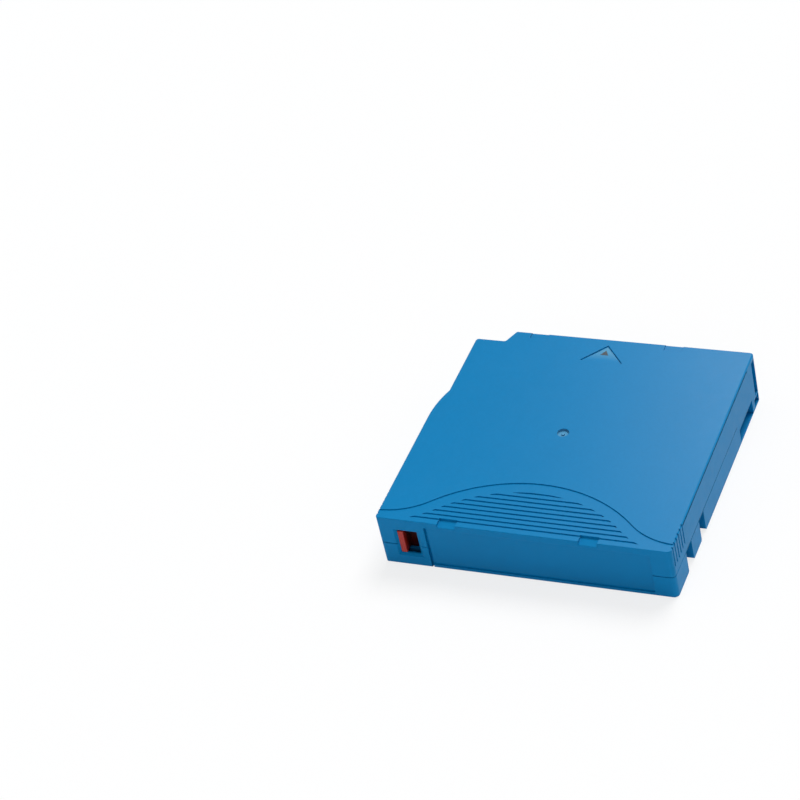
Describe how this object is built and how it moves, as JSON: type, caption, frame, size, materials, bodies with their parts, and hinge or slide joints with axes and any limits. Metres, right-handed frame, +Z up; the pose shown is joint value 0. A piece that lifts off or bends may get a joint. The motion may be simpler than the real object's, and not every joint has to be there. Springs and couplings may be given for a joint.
{
  "type": "data tape cartridge",
  "caption": "Flat moulded case with a finger grip area, a sliding side door and a toothed reel of wound tape that a drive turns from below.",
  "frame": {"origin": "centre of the underside of the case", "axes": "+Z up through the roof, +Y the way it is pushed into a drive, +X to the right seen from the label end"},
  "size_m": [0.1054, 0.102, 0.0215],
  "materials": {
    "case_blue": "fine moulded blue, slightly glossy",
    "door_blue": "moulded blue",
    "tab_red": "moulded red",
    "reel_grey": "moulded pale grey",
    "brake_white": "moulded white, low friction",
    "pad_black": "moulded black",
    "plate_steel": "stamped, matt",
    "screw_steel": "zinc plated",
    "pin_steel": "turned and polished",
    "spring_steel": "drawn wire",
    "tape_film": "smooth coated film",
    "board_green": "laminate",
    "chip_black": "moulded resin"
  },
  "bodies": {
    "case": {"upper_case": "case_blue", "lower_case": "case_blue", "case_screws": "screw_steel", "leader_pin": "pin_steel", "leader_tape": "tape_film", "pin_clip": "pad_black", "lower_leaf_spring": "spring_steel", "upper_leaf_spring": "spring_steel", "memory_board": "board_green", "memory_chip": "chip_black", "brake_spring": "spring_steel", "door_spring": "spring_steel"},
    "reel": {"reel_hub": "reel_grey", "upper_flange": "reel_grey", "reel_plate": "plate_steel", "tape_pack": "tape_film"},
    "release": {"release_pad": "pad_black"},
    "brake": {"brake_button": "brake_white"},
    "door": {"door": "door_blue"},
    "protect_tab": {"write_protect_tab": "tab_red"}
  },
  "joints": [
    {"name": "reel_spin", "type": "hinge", "parent": "case", "child": "reel", "pos_m": [-0.00145, 0, 0], "axis": [0, 0, 1], "continuous": true},
    {"name": "brake_lift", "type": "slide", "parent": "case", "child": "brake", "axis": [0, 0, 1], "range_m": [0, 0.0018], "stiffness_N_per_m": 400, "springref_m": -0.01, "deforming": ["brake_spring"]},
    {"name": "release_lift", "type": "slide", "parent": "reel", "child": "release", "axis": [0, 0, 1], "range_m": [0, 0.0018]},
    {"name": "door_slide", "type": "slide", "parent": "case", "child": "door", "axis": [0, -1, 0], "range_m": [0, 0.027], "stiffness_N_per_m": 20, "springref_m": -0.015, "deforming": ["door_spring"]},
    {"name": "protect_slide", "type": "slide", "parent": "case", "child": "protect_tab", "axis": [1, 0, 0], "range_m": [0, 0.005]}
  ],
  "couplings": [
    {"joint": "release_lift", "follows": "brake_lift", "ratio": 1}
  ]
}
